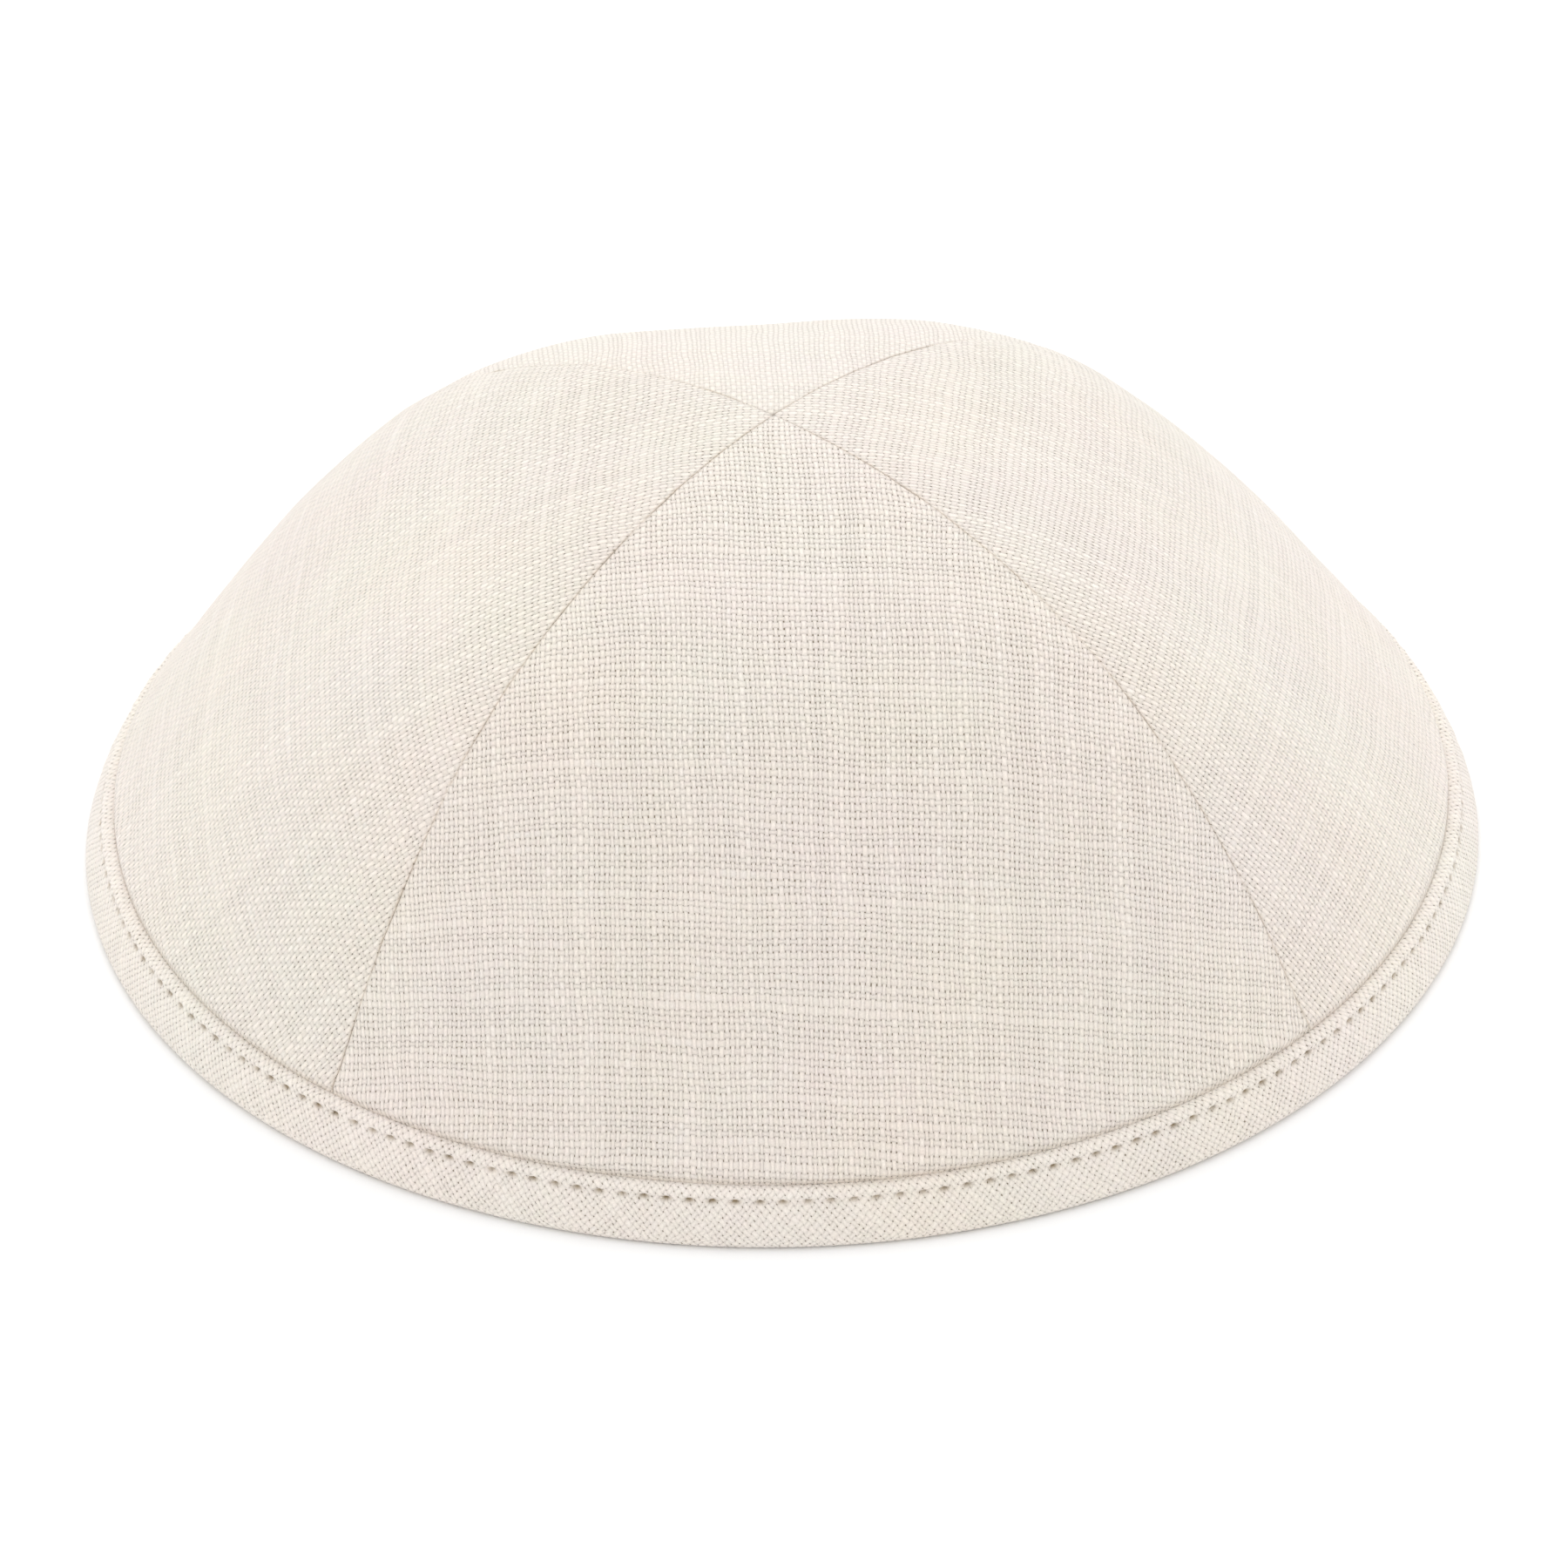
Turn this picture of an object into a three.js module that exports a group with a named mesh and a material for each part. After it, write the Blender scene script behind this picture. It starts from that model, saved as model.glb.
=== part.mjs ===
// A kippah, the small round skullcap, in plain woven off-white linen.
// Four curved panels are sewn to one another and meet at the tip, and a tape
// cut on the bias is folded round their hem. The cap is hollow and open below.
// Millimetres, +Z up. The origin is the centre of the rim on the surface that
// the cap rests on, and the front panel faces -Y.

import * as THREE from 'three';

// Sizes of the cap
const RIM_DIAMETER = 170;
const CROWN_HEIGHT = 60;

// Sizes of the cloth
const PANEL_WALL = 1.2;
const HEM_WALL = 1.0;
const SEAM_GAP = 0.3;
const SEAM_DIP = 0.4;
const SEAM_ROLL = 1.8;
const TIP_RADIUS = 0.7;

// Sizes of the bias tape round the rim
const TAPE_HEIGHT = 6.7;
const TAPE_WALL = 1.0;
const TAPE_PROUD = 0.9;
const TAPE_GAP = 0.3;
const INNER_LEG_HEIGHT = 7.4;
const RIDGE_HEIGHT = 1.5;
const RIDGE_PUFF = 0.35;
const STITCH_DENT = 0.25;
const REST_STRIP_WIDTH = 1.8;
const PINCH_REACH = 1.3;

// How finely the curves are cut into facets
const PANEL_ROWS = 15;
const PANEL_COLUMNS = 22;
const TAPE_STATIONS = 96;

// The crown's shape, a row for each level from the tip to the rim. down is the
// share of the way down the curve, seam and middle are the cap's radius along a
// seam and down the middle of a panel, as shares of a round dome's at that level.
const CROWN_LEVELS = [
  { down: 0.0, seam: 0.93, middle: 0.69 },
  { down: 0.2, seam: 0.913, middle: 0.735 },
  { down: 0.35, seam: 0.904, middle: 0.769 },
  { down: 0.5, seam: 0.904, middle: 0.802 },
  { down: 0.65, seam: 0.905, middle: 0.84 },
  { down: 0.8, seam: 0.931, middle: 0.897 },
  { down: 0.9, seam: 0.959, middle: 0.955 },
  { down: 1.0, seam: 1.0, middle: 1.0 },
];

// The ridge between the tape's stitches and its upper edge, a row for each
// level. rise is a share of the ridge's height above the stitches, and puff is
// how far the tape's face swells there, as a share of the ridge's full swell.
const RIDGE_PROFILE = [
  { rise: 0.3, puff: 0.8 },
  { rise: 0.65, puff: 1.0 },
  { rise: 0.9, puff: 0.35 },
];

const PANEL_NAMES = ['panel_front', 'panel_right', 'panel_back', 'panel_left'];

const FULL_TURN = 2 * Math.PI;
const QUARTER_TURN = FULL_TURN / 4;
const PANEL_COUNT = PANEL_NAMES.length;
const PANEL_ANGLE = FULL_TURN / PANEL_COUNT;
const FRONT_AZIMUTH = -QUARTER_TURN;

const PANEL_RIM_RADIUS = RIM_DIAMETER / 2 - TAPE_PROUD;
const HEM_LEVEL = TAPE_WALL + TAPE_GAP;
const STITCH_LEVEL = TAPE_HEIGHT - RIDGE_HEIGHT;
const HEM_PINCH = TAPE_WALL + TAPE_GAP - TAPE_PROUD;

const linen = (color, roughness) =>
  new THREE.MeshStandardMaterial({ color, roughness, metalness: 0 });

// One column of the table of levels as a smooth curve over the way down.
function levelCurve(column) {
  const downs = CROWN_LEVELS.map((level) => level.down);
  const shares = CROWN_LEVELS.map((level) => level[column]);
  const curve = new THREE.CubicInterpolant(downs, shares, 1);
  return (down) => curve.evaluate(down)[0];
}

const seamShare = levelCurve('seam');
const middleShare = levelCurve('middle');

// 0 down the middle of a panel and 1 on its seams, rising smoothly between.
function seamNearness(azimuth) {
  return (1 - Math.cos((azimuth - FRONT_AZIMUTH) * PANEL_COUNT)) / 2;
}

// How much longer than its thickness a level step through the leaning wall is,
// beside the tape.
function rimLean() {
  const down = Math.acos(TAPE_HEIGHT / CROWN_HEIGHT) / QUARTER_TURN;
  const share = (middleShare(down) + seamShare(down)) / 2;
  const run = PANEL_RIM_RADIUS * (1 - share * Math.sin(down * QUARTER_TURN));
  return Math.hypot(run, TAPE_HEIGHT) / TAPE_HEIGHT;
}

const RIM_LEAN = rimLean();

// The share of the way down at which the crown is at a height above the floor.
function downAtHeight(height, inset) {
  return Math.acos(height / (CROWN_HEIGHT - inset)) / QUARTER_TURN;
}

// The cap's radius at a share of the way down, on a face set in by inset.
function crownRadius(azimuth, down, inset) {
  const nearness = seamNearness(azimuth);
  const share = middleShare(down) * (1 - nearness) + seamShare(down) * nearness;
  const rim = PANEL_RIM_RADIUS - inset * RIM_LEAN;
  return rim * Math.sin(down * QUARTER_TURN) * share;
}

// A point on the crown, on a face set in by inset from the outside of the cloth.
function crownPoint(azimuth, down, inset) {
  const radius = crownRadius(azimuth, down, inset);
  const height = (CROWN_HEIGHT - inset) * Math.cos(down * QUARTER_TURN);
  return new THREE.Vector3(radius * Math.cos(azimuth), radius * Math.sin(azimuth), height);
}

// A closed surface from rows of points that run round a loop. Where the rows
// themselves close on the first, the surface is a ring, and else it has ends.
function closedSurface(loops, isRing) {
  const perLoop = loops[0].length;
  const positions = loops.flat().flatMap((point) => point.toArray());
  const indices = [];
  const bandCount = isRing ? loops.length : loops.length - 1;
  for (let band = 0; band < bandCount; band += 1) {
    const here = band * perLoop;
    const there = ((band + 1) % loops.length) * perLoop;
    for (let step = 0; step < perLoop; step += 1) {
      const next = (step + 1) % perLoop;
      indices.push(here + step, there + step, there + next);
      indices.push(here + step, there + next, here + next);
    }
  }
  if (!isRing) {
    const last = (loops.length - 1) * perLoop;
    const half = perLoop / 2;
    // Each end is a strip between the loop's outside half and its inside half.
    for (let step = 0; step < half - 1; step += 1) {
      const across = perLoop - 1 - step;
      indices.push(step, step + 1, across);
      indices.push(step + 1, across - 1, across);
      indices.push(last + step, last + across, last + step + 1);
      indices.push(last + step + 1, last + across, last + across - 1);
    }
  }
  const geometry = new THREE.BufferGeometry();
  geometry.setAttribute('position', new THREE.Float32BufferAttribute(positions, 3));
  geometry.setIndex(indices);
  geometry.computeVertexNormals();
  return geometry;
}

// The levels of a panel's rows: even steps from the tip down to the tape, then
// the place where the tape pinches the cloth, and the hem inside the tape.
function panelLevels(inset) {
  const tip = Math.asin(TIP_RADIUS / PANEL_RIM_RADIUS) / QUARTER_TURN;
  const aboveTape = downAtHeight(TAPE_HEIGHT + PINCH_REACH, inset);
  const levels = [];
  for (let row = 0; row <= PANEL_ROWS; row += 1) {
    levels.push({ down: tip + ((aboveTape - tip) * row) / PANEL_ROWS, pinch: 0 });
  }
  levels.push({ down: downAtHeight(TAPE_HEIGHT + TAPE_GAP, inset), pinch: 1 });
  levels.push({ down: downAtHeight(HEM_LEVEL, inset), pinch: 1 });
  return levels;
}

// The angles across a panel, from seam to seam, at a radius: half the seam gap
// in from each side, the roll beside each seam, and even steps between.
function panelAngles(radius) {
  const edge = PANEL_ANGLE / 2 - Math.asin(SEAM_GAP / 2 / radius);
  const roll = Math.min(SEAM_ROLL / radius, edge / 2);
  const angles = [{ angle: -edge, dip: 1 }];
  for (let column = 0; column <= PANEL_COLUMNS; column += 1) {
    angles.push({ angle: (edge - roll) * ((2 * column) / PANEL_COLUMNS - 1), dip: 0 });
  }
  angles.push({ angle: edge, dip: 1 });
  return angles;
}

// One row of a panel's face, on the outside or, with wall, on the inside.
function panelRow(azimuth, row, inside) {
  const level = panelLevels(0)[row];
  const pinch = level.pinch * HEM_PINCH;
  const wall = inside ? PANEL_WALL + level.pinch * (HEM_WALL - PANEL_WALL) : 0;
  const radius = crownRadius(azimuth + PANEL_ANGLE / 2, level.down, 0);
  return panelAngles(radius).map(({ angle, dip }) => {
    const inset = pinch + wall + dip * SEAM_DIP * (1 - level.pinch);
    const down = panelLevels(inset)[row].down;
    return crownPoint(azimuth + angle, down, inset);
  });
}

// A panel as a thin curved wall, a loop of outside and inside points a row.
function panelGeometry(azimuth) {
  const loops = panelLevels(0).map((level, row) => {
    const outside = panelRow(azimuth, row, false);
    const inside = panelRow(azimuth, row, true).reverse();
    return [...outside, ...inside];
  });
  return closedSurface(loops, false);
}

// A point of the tape at a height above the floor, proud of the panel's face.
function tapePoint(azimuth, height, proud) {
  return crownPoint(azimuth, downAtHeight(height, -proud), -proud);
}

// The tape's section at one azimuth: up the outside of the outer leg, over the
// ridge, down inside it to the hem, up and over the inner leg, and back to the
// floor, with a flat strip that the cap rests on.
function tapeSection(azimuth) {
  const face = TAPE_PROUD;
  const back = TAPE_PROUD - TAPE_WALL;
  const innerFace = back - TAPE_GAP - HEM_WALL - TAPE_GAP;
  const innerBack = innerFace - TAPE_WALL;
  const foldRadius = TAPE_WALL / 2;
  const section = [
    tapePoint(azimuth, foldRadius, face),
    tapePoint(azimuth, STITCH_LEVEL / 2, face),
    tapePoint(azimuth, STITCH_LEVEL - RIDGE_HEIGHT / 2, face),
    tapePoint(azimuth, STITCH_LEVEL, face - STITCH_DENT),
  ];
  for (const { rise, puff } of RIDGE_PROFILE) {
    const height = STITCH_LEVEL + rise * RIDGE_HEIGHT;
    section.push(tapePoint(azimuth, height, face + puff * RIDGE_PUFF));
  }
  section.push(tapePoint(azimuth, TAPE_HEIGHT, back + TAPE_WALL / 2));
  section.push(tapePoint(azimuth, TAPE_HEIGHT - foldRadius, back));
  section.push(tapePoint(azimuth, TAPE_WALL, back));
  section.push(tapePoint(azimuth, TAPE_WALL, innerFace));
  section.push(tapePoint(azimuth, INNER_LEG_HEIGHT - foldRadius, innerFace));
  section.push(tapePoint(azimuth, INNER_LEG_HEIGHT, innerFace - TAPE_WALL / 2));
  section.push(tapePoint(azimuth, INNER_LEG_HEIGHT - foldRadius, innerBack));
  section.push(tapePoint(azimuth, foldRadius, innerBack));
  const middle = (face + innerBack) / 2;
  const strip = REST_STRIP_WIDTH / 2 / RIM_LEAN;
  section.push(tapePoint(azimuth, 0, middle - strip));
  section.push(tapePoint(azimuth, 0, middle + strip));
  return section;
}

// The tape as a ring, a section at each station round the rim.
function tapeGeometry() {
  const sections = [];
  for (let station = 0; station < TAPE_STATIONS; station += 1) {
    sections.push(tapeSection((FULL_TURN * station) / TAPE_STATIONS));
  }
  return closedSurface(sections, true);
}

const kippah = new THREE.Group();

PANEL_NAMES.forEach((name, index) => {
  const azimuth = FRONT_AZIMUTH + index * PANEL_ANGLE;
  const panel = new THREE.Mesh(panelGeometry(azimuth), linen('#ebe3d6', 0.9));
  panel.name = name;
  kippah.add(panel);
});

const binding = new THREE.Mesh(tapeGeometry(), linen('#efe7da', 0.88));
binding.name = 'rim_binding';
kippah.add(binding);

export default kippah;
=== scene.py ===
"""A kippah of natural off-white linen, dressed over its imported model.

Four curved panels make the crown, and a bias tape with one line of stitches is
folded round the rim. Lengths are metres unless a name ends in _mm.
"""

import logging
import math
from dataclasses import dataclass, field
from enum import Enum
from typing import Callable

import bmesh
import bpy
import numpy as np
from mathutils import Matrix, Vector, noise


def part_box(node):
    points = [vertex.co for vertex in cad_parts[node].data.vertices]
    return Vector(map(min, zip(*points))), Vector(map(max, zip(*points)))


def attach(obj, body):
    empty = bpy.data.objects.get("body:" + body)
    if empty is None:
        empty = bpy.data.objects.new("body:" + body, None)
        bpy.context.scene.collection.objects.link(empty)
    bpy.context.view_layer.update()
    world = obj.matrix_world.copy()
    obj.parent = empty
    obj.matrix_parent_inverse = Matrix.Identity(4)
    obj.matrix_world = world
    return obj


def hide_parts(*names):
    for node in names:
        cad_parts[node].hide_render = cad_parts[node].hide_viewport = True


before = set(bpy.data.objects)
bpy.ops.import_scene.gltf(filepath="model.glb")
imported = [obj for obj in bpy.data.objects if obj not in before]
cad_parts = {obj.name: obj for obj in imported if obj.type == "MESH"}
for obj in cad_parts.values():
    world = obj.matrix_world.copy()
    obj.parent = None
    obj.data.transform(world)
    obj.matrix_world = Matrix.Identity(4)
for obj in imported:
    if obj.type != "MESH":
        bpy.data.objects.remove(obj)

LOG = logging.getLogger("kippah")
MM = 0.001
FULL_TURN = 2 * math.pi
QUARTER_TURN = math.pi / 2
UV_UNIT = 0.1
UV_NAME = "cloth"
SHADE_NAME = "shade"


def smooth_step(value: float, low: float, high: float) -> float:
    """Rises smoothly from 0 to 1.

    Args:
        value: Where to read the curve.
        low: Where the curve leaves 0.
        high: Where the curve reaches 1; it may be less than low.

    Returns:
        The curve's height, from 0 to 1.
    """
    share = min(1.0, max(0.0, (value - low) / (high - low)))
    return share * share * (3 - 2 * share)


def bell(distance: float, width: float) -> float:
    """A round bump's height, from 1 in its middle to 0 far from it."""
    return math.exp(-((distance / width) ** 2))


@dataclass(frozen=True)
class Level:
    """One level of the crown, as shares of a round dome's radius there."""

    down: float
    seam: float
    middle: float


CROWN_LEVELS = (
    Level(0.0, 0.93, 0.69),
    Level(0.2, 0.913, 0.735),
    Level(0.35, 0.904, 0.769),
    Level(0.5, 0.904, 0.802),
    Level(0.65, 0.905, 0.84),
    Level(0.8, 0.931, 0.897),
    Level(0.9, 0.959, 0.955),
    Level(1.0, 1.0, 1.0),
)


def level_curve(values: tuple[float, ...]) -> Callable[[float], float]:
    """Makes a smooth curve through one column of the levels.

    Args:
        values: The column, a value for each of CROWN_LEVELS.

    Returns:
        A function of the share of the way down.
    """
    downs = [level.down for level in CROWN_LEVELS]
    last = len(downs) - 1
    slopes = [0.0] * len(downs)
    for index in range(1, last):
        rise = values[index + 1] - values[index - 1]
        slopes[index] = rise / (downs[index + 1] - downs[index - 1])
    for end, near in ((0, 1), (last, last - 1)):
        chord = (values[end] - values[near]) / (downs[end] - downs[near])
        slopes[end] = (3 * chord - slopes[near]) / 2

    def curve(down: float) -> float:
        """The column's value at a share of the way down."""
        index = 0
        while index < last - 1 and down > downs[index + 1]:
            index += 1
        step = downs[index + 1] - downs[index]
        share = (down - downs[index]) / step
        back = 1 - share
        ends = values[index] * back * back * (1 + 2 * share)
        ends += values[index + 1] * share * share * (1 + 2 * back)
        leans = slopes[index] * back * back * share - slopes[index + 1] * share * share * back
        return ends + leans * step

    return curve


@dataclass
class Crown:
    """The crown's outside face, which every piece of cloth follows."""

    rim_radius: float
    height: float
    panel_count: int = 4
    front: float = -QUARTER_TURN
    lean_height: float = 6.7 * MM
    seam_share: Callable[[float], float] = field(init=False)
    middle_share: Callable[[float], float] = field(init=False)
    lean: float = field(init=False)

    def __post_init__(self) -> None:
        """Works out the curves and how far the wall leans at the rim."""
        self.seam_share = level_curve(tuple(level.seam for level in CROWN_LEVELS))
        self.middle_share = level_curve(tuple(level.middle for level in CROWN_LEVELS))
        down = math.acos(self.lean_height / self.height) / QUARTER_TURN
        share = (self.seam_share(down) + self.middle_share(down)) / 2
        run = self.rim_radius * (1 - share * math.sin(down * QUARTER_TURN))
        self.lean = math.hypot(run, self.lean_height) / self.lean_height

    def nearness(self, azimuth: float) -> float:
        """How near an azimuth is to a seam, from 0 at a panel's middle to 1."""
        return (1 - math.cos((azimuth - self.front) * self.panel_count)) / 2

    def down_at(self, height: float, inset: float = 0.0) -> float:
        """The share of the way down at a height, on a face set in by inset."""
        return math.acos(height / (self.height - inset)) / QUARTER_TURN

    def radius(self, azimuth: float, down: float, inset: float = 0.0) -> float:
        """The radius at a share of the way down, on a face set in by inset."""
        near = self.nearness(azimuth)
        share = self.middle_share(down) * (1 - near) + self.seam_share(down) * near
        return (self.rim_radius - inset * self.lean) * math.sin(down * QUARTER_TURN) * share

    def point(self, azimuth: float, down: float, inset: float = 0.0) -> Vector:
        """A point on the crown.

        Args:
            azimuth: The direction from the axis, in radians.
            down: The share of the way down the curve, 0 at the tip.
            inset: How far inside the cloth's outside face the point lies.

        Returns:
            The point, in metres.
        """
        radius = self.radius(azimuth, down, inset)
        height = (self.height - inset) * math.cos(down * QUARTER_TURN)
        return Vector((radius * math.cos(azimuth), radius * math.sin(azimuth), height))


class Grain(Enum):
    """How the cloth's threads lie in a piece, as a turn in degrees."""

    STRAIGHT = 0.0
    BIAS = 45.0


class NodeSheet:
    """One material, to which each call adds a shader node."""

    def __init__(self, name: str) -> None:
        """Starts a material with an empty node tree.

        Args:
            name: The material's name.
        """
        self.material = bpy.data.materials.new(name)
        self.material.use_nodes = True
        self.tree = self.material.node_tree
        self.tree.nodes.clear()

    def add(self, kind: str, inputs: dict, **settings) -> bpy.types.Node:
        """Adds a node.

        Args:
            kind: The node's type name.
            inputs: Socket names or numbers, with a value or a socket for each.
            **settings: The node's own settings.

        Returns:
            The node.
        """
        node = self.tree.nodes.new(kind)
        for name, value in settings.items():
            setattr(node, name, value)
        for key, value in inputs.items():
            if isinstance(value, bpy.types.NodeSocket):
                self.tree.links.new(value, node.inputs[key])
            else:
                node.inputs[key].default_value = value
        return node

    def math(self, operation: str, *values) -> bpy.types.NodeSocket:
        """The result of one Math node on one to three values or sockets."""
        inputs = dict(enumerate(values))
        return self.add("ShaderNodeMath", inputs, operation=operation).outputs[0]

    def random(self, value: bpy.types.NodeSocket, seed: float) -> bpy.types.NodeSocket:
        """A random number from 0 to 1 for each whole value of a socket."""
        inputs = {"W": self.math("ADD", value, seed)}
        return self.add("ShaderNodeTexWhiteNoise", inputs, noise_dimensions="1D").outputs[0]

    def drift(self, across, along, scale: float, detail: float = 2.0) -> bpy.types.NodeSocket:
        """Smooth noise from -0.5 to 0.5 over two sockets."""
        place = self.add("ShaderNodeCombineXYZ", {0: across, 1: along}).outputs[0]
        inputs = {"Vector": place, "Scale": scale, "Detail": detail}
        cloud = self.add("ShaderNodeTexNoise", inputs, noise_dimensions="2D").outputs[0]
        return self.math("SUBTRACT", cloud, 0.5)

    def blend(self, factor, first, second) -> bpy.types.NodeSocket:
        """A colour between two colours or colour sockets."""
        inputs = {0: factor, 6: first, 7: second}
        return self.add("ShaderNodeMix", inputs, data_type="RGBA").outputs[2]

    def ramp(self, value, low: float, high: float) -> bpy.types.NodeSocket:
        """0 below low and 1 above high, with a smooth rise between."""
        inputs = {"Value": value, "From Min": low, "From Max": high}
        settings = {"interpolation_type": "SMOOTHSTEP"}
        return self.add("ShaderNodeMapRange", inputs, **settings).outputs[0]

    def finish(self, inputs: dict) -> bpy.types.Material:
        """The material, with a surface shader of these inputs."""
        shader = self.add("ShaderNodeBsdfPrincipled", inputs).outputs[0]
        self.add("ShaderNodeOutputMaterial", {"Surface": shader})
        return self.material


@dataclass(frozen=True)
class Stray:
    """Noise that moves threads sideways, as far as reach times the pitch."""

    scale: float
    reach: float
    stretch: float = 1.0
    detail: float = 0.0


STRAYS = (
    Stray(scale=0.07, reach=1.3, detail=1.0),
    Stray(scale=0.5, reach=0.25),
    Stray(scale=0.55, reach=0.6, stretch=0.04),
)
WARP_SEED, WEFT_SEED = 0.37, 57.61
THREAD_LANE = 7.31
FUZZ_SCALE = 5200.0
FUZZ_RELIEF = 0.22
# Where each ramp of the colour starts and ends; the hole, flank and dive ramps place painted
# shade.
SLUB_RAMP = (0.02, 0.36)
HOLE_SHADE_RAMP = (0.05, 0.5)
FLANK_SHADE_RAMP = (0.4, 1.05)
DIVE_SHADE_RAMP = (0.5, 1.0)
# The scale and the strength of the cloth's broad and fine mottling.
MOTTLES = ((45.0, 0.06), (900.0, 0.045))


@dataclass(frozen=True)
class Linen:
    """Plain-weave linen, thread by thread, on a piece's own cloth coordinates."""

    name: str
    grain: Grain
    warp_turn_deg: float = 0.0
    weft_turn_deg: float = 0.0
    warp_pitch_mm: float = 0.61
    weft_pitch_mm: float = 0.86
    thread: tuple[float, float, float] = (0.885, 0.806, 0.722)
    slub: tuple[float, float, float] = (0.905, 0.84, 0.77)
    # Painted shade: the colour seen in the pin-holes between the threads.
    hole: tuple[float, float, float] = (0.34, 0.27, 0.185)
    # Painted shade: the colour that the shade attribute blends in at seams, creases, needle holes
    # and the join.
    crease: tuple[float, float, float] = (0.42, 0.315, 0.195)
    # Painted shade on the threads' round sides, as a share of the thread colour.
    flank_shade: float = 0.93
    # The cloth's brightness, lowered on some panels as painted shade.
    brightness_with_shade: float = 0.895
    # A painted highlight on the warp's raised floats.
    warp_highlight: float = 0.055
    # Painted shadow where a thread dives under the other, for the warp and the weft.
    warp_dive_shade: float = 0.13
    weft_dive_shade: float = 0.06
    hole_fill: float = 0.2
    grain_share: float = 0.32
    tint_share: float = 0.035
    warp_width: float = 0.412
    weft_width: float = 0.378
    tint_width: float = 0.06
    slub_width: float = 0.18
    slub_stretch: float = 0.11
    crimp: float = 0.45
    crimp_level: float = 0.75
    roughness: float = 0.92
    sheen: float = 0.45
    relief_mm: float = 0.2
    seed: float = 0.0

    def thread_place(self, sheet: NodeSheet) -> tuple:
        """Reads the cloth coordinates.

        Args:
            sheet: The material's nodes.

        Returns:
            The places across the warp and the weft, in millimetres.
        """
        cloth = sheet.add("ShaderNodeUVMap", {}, uv_map=UV_NAME).outputs[0]
        unit_mm = UV_UNIT / MM
        places = []
        for turn_deg, quarter in ((self.warp_turn_deg, 0.0), (self.weft_turn_deg, 90.0)):
            turn = math.radians(self.grain.value + turn_deg + quarter)
            way = (math.cos(turn) * unit_mm, math.sin(turn) * unit_mm, 0.0)
            dot = sheet.add("ShaderNodeVectorMath", {0: cloth, 1: way}, operation="DOT_PRODUCT")
            places.append(dot.outputs["Value"])
        return tuple(places)

    def one_way(
        self, sheet: NodeSheet, across, along, pitch_mm: float, half_width: float, seed: float
    ) -> dict:
        """The threads that run one way.

        Args:
            sheet: The material's nodes.
            across: The place across these threads, in millimetres.
            along: The place along them, in millimetres.
            pitch_mm: How far apart the threads lie.
            half_width: Half a thread's width, as a share of the pitch.
            seed: A number that sets these threads' own variation.

        Returns:
            Sockets by name: place counts pitches across, count is the thread's
            number, tint its own random number, round the height of its round
            side, and slub its swelling.
        """
        moved = across
        for stray in STRAYS:
            slow = sheet.math("MULTIPLY", along, stray.stretch)
            shift = sheet.drift(across, slow, stray.scale, stray.detail)
            moved = sheet.math("MULTIPLY_ADD", shift, stray.reach * pitch_mm, moved)
        place = sheet.math("DIVIDE", moved, pitch_mm)
        count = sheet.math("FLOOR", place)
        middle = sheet.math("SUBTRACT", sheet.math("SUBTRACT", place, count), 0.5)
        tint = sheet.random(count, seed)
        lane = sheet.math("MULTIPLY", count, THREAD_LANE)
        slow = sheet.math("MULTIPLY", along, self.slub_stretch)
        swelling = sheet.drift(lane, slow, 1.0, 3.0)
        width = sheet.math("MULTIPLY_ADD", tint, self.tint_width, half_width)
        width = sheet.math("MULTIPLY_ADD", swelling, self.slub_width, width)
        share = sheet.math("DIVIDE", middle, width)
        inside = sheet.math("SUBTRACT", 1.0, sheet.math("MULTIPLY", share, share))
        rounded = sheet.math("SQRT", sheet.math("MAXIMUM", inside, 0.0))
        return {"count": count, "place": place, "tint": tint, "round": rounded, "slub": swelling}

    def weave(self, sheet: NodeSheet) -> dict:
        """Lays the warp and the weft over and under each other.

        Args:
            sheet: The material's nodes.

        Returns:
            Sockets by name: height, the top thread's tint, slub and lift, which
            falls where it dives, warp_up, which is 1 where the warp is on top,
            and fill, a random number for each pin-hole.
        """
        across, along = self.thread_place(sheet)
        sizes = (self.warp_pitch_mm, self.warp_width, self.seed + WARP_SEED)
        warp = self.one_way(sheet, across, along, *sizes)
        sizes = (self.weft_pitch_mm, self.weft_width, self.seed + WEFT_SEED)
        weft = self.one_way(sheet, along, across, *sizes)
        heights = []
        for thread, other, phase in ((warp, weft, -0.5), (weft, warp, 0.5)):
            crossing = sheet.math("ADD", other["place"], thread["count"])
            crossing = sheet.math("ADD", crossing, phase)
            wave = sheet.math("COSINE", sheet.math("MULTIPLY", crossing, math.pi))
            thread["lift"] = sheet.math("MULTIPLY_ADD", wave, self.crimp, self.crimp_level)
            heights.append(sheet.math("MULTIPLY", thread["round"], thread["lift"]))
        warp_up = sheet.math("GREATER_THAN", *heights)
        woven = {"height": sheet.math("MAXIMUM", *heights), "warp_up": warp_up}
        for key in ("tint", "slub", "lift"):
            mix = sheet.add("ShaderNodeMix", {0: warp_up, 2: weft[key], 3: warp[key]})
            woven[key] = mix.outputs[0]
        corners = [
            sheet.math("ROUND", sheet.math("ADD", thread["place"], self.seed))
            for thread in (warp, weft)
        ]
        corner = sheet.add("ShaderNodeCombineXYZ", dict(enumerate(corners))).outputs[0]
        inputs = {"Vector": corner}
        speckle = sheet.add("ShaderNodeTexWhiteNoise", inputs, noise_dimensions="2D")
        woven["fill"] = speckle.outputs[0]
        return woven

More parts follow.
